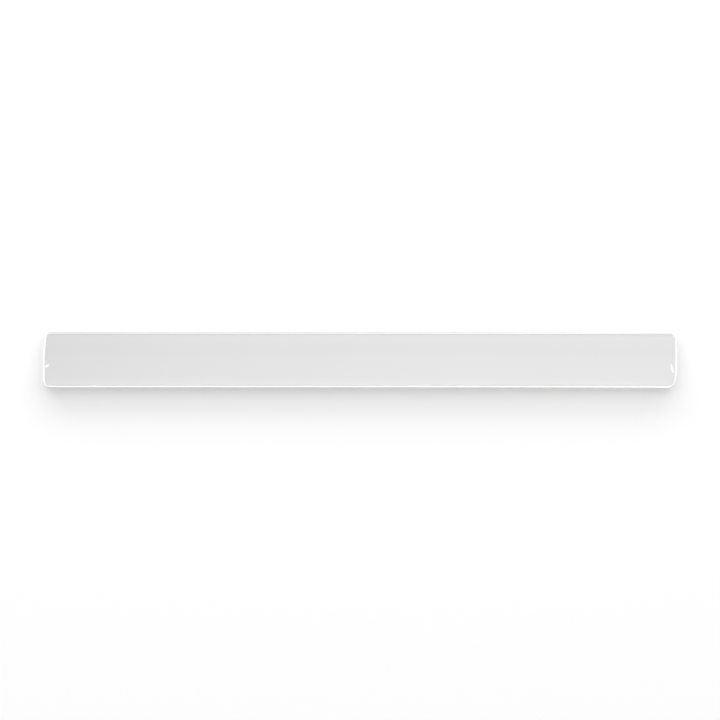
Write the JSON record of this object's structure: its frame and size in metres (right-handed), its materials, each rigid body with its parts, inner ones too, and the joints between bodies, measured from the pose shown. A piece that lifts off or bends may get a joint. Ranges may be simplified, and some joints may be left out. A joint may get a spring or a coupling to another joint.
{
  "type": "porcelain trim tile",
  "caption": "Long slim glazed porcelain trim tile with a gently crowned glossy face, rounded-over edges, bowed ends and keying grooves in its back, for edging or lining a tiled wall.",
  "frame": {"origin": "on the bed plane of the back, under the middle of the tile", "axes": "+X along the tile, +Y across its width, +Z out of the glazed face"},
  "size_m": [0.304, 0.0266, 0.009],
  "materials": {
    "white_glaze": "gloss white glaze over the face and the round-over of its edges, with the bare matt porcelain body on the lower sides and the back"
  },
  "bodies": {
    "root": {"trim_tile": "white_glaze"}
  },
  "joints": []
}
